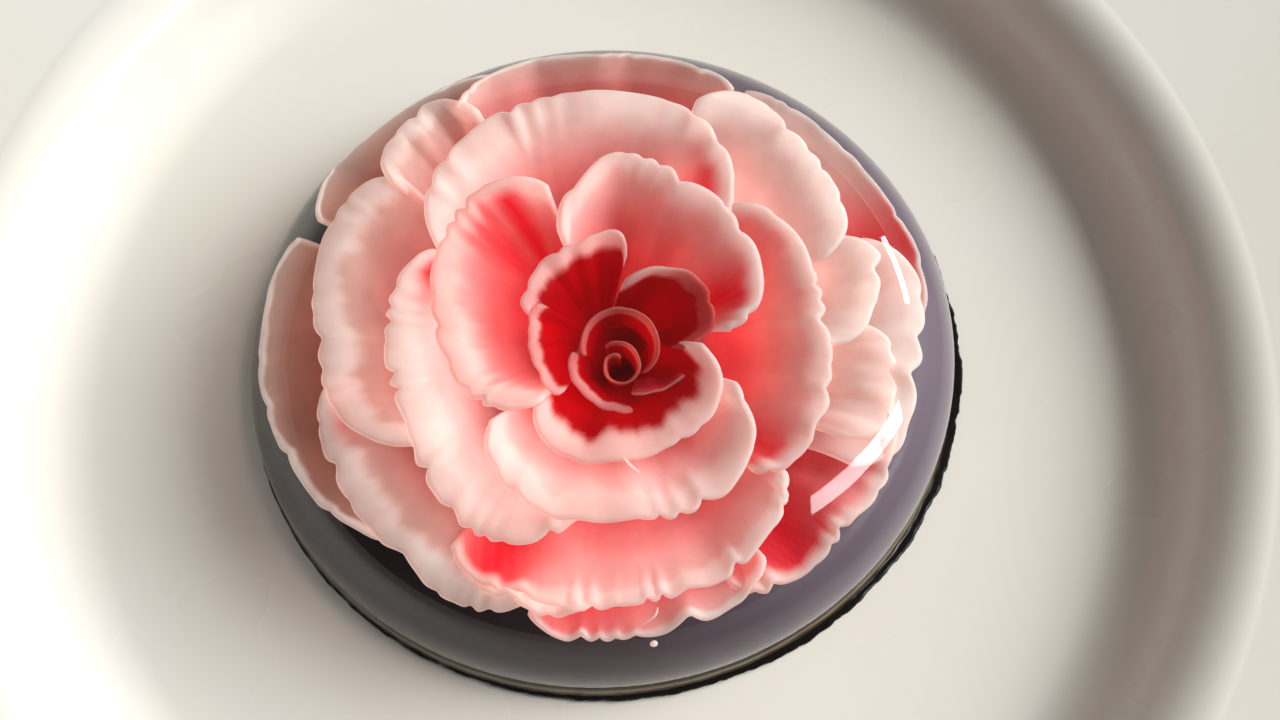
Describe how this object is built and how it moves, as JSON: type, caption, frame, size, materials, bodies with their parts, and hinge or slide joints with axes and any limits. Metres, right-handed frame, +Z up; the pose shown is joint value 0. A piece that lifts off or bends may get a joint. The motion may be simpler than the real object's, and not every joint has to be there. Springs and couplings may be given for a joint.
{
  "type": "moulded jelly",
  "caption": "Oval domed clear jelly with a rose of milk jelly petals inside, on a thin dark backing layer, on a round white plate.",
  "frame": {"origin": "middle of the plate's foot ring, on the table", "axes": "+Z up through the dome; +X along the long side of the oval jelly; the jelly stands 5 mm towards +Y from the middle of the plate"},
  "size_m": [0.27, 0.27, 0.0466],
  "materials": {
    "plate_glaze": "white glaze, glossy",
    "dark_jelly": "dark charcoal jelly, wet gloss",
    "clear_jelly": "clear jelly, wet gloss",
    "milk_jelly": "translucent milk jelly petals, cream at the edge and deep red at the root"
  },
  "bodies": {
    "root": {"plate": "plate_glaze", "backing_jelly": "dark_jelly", "clear_dome": "clear_jelly"}
  },
  "joints": []
}
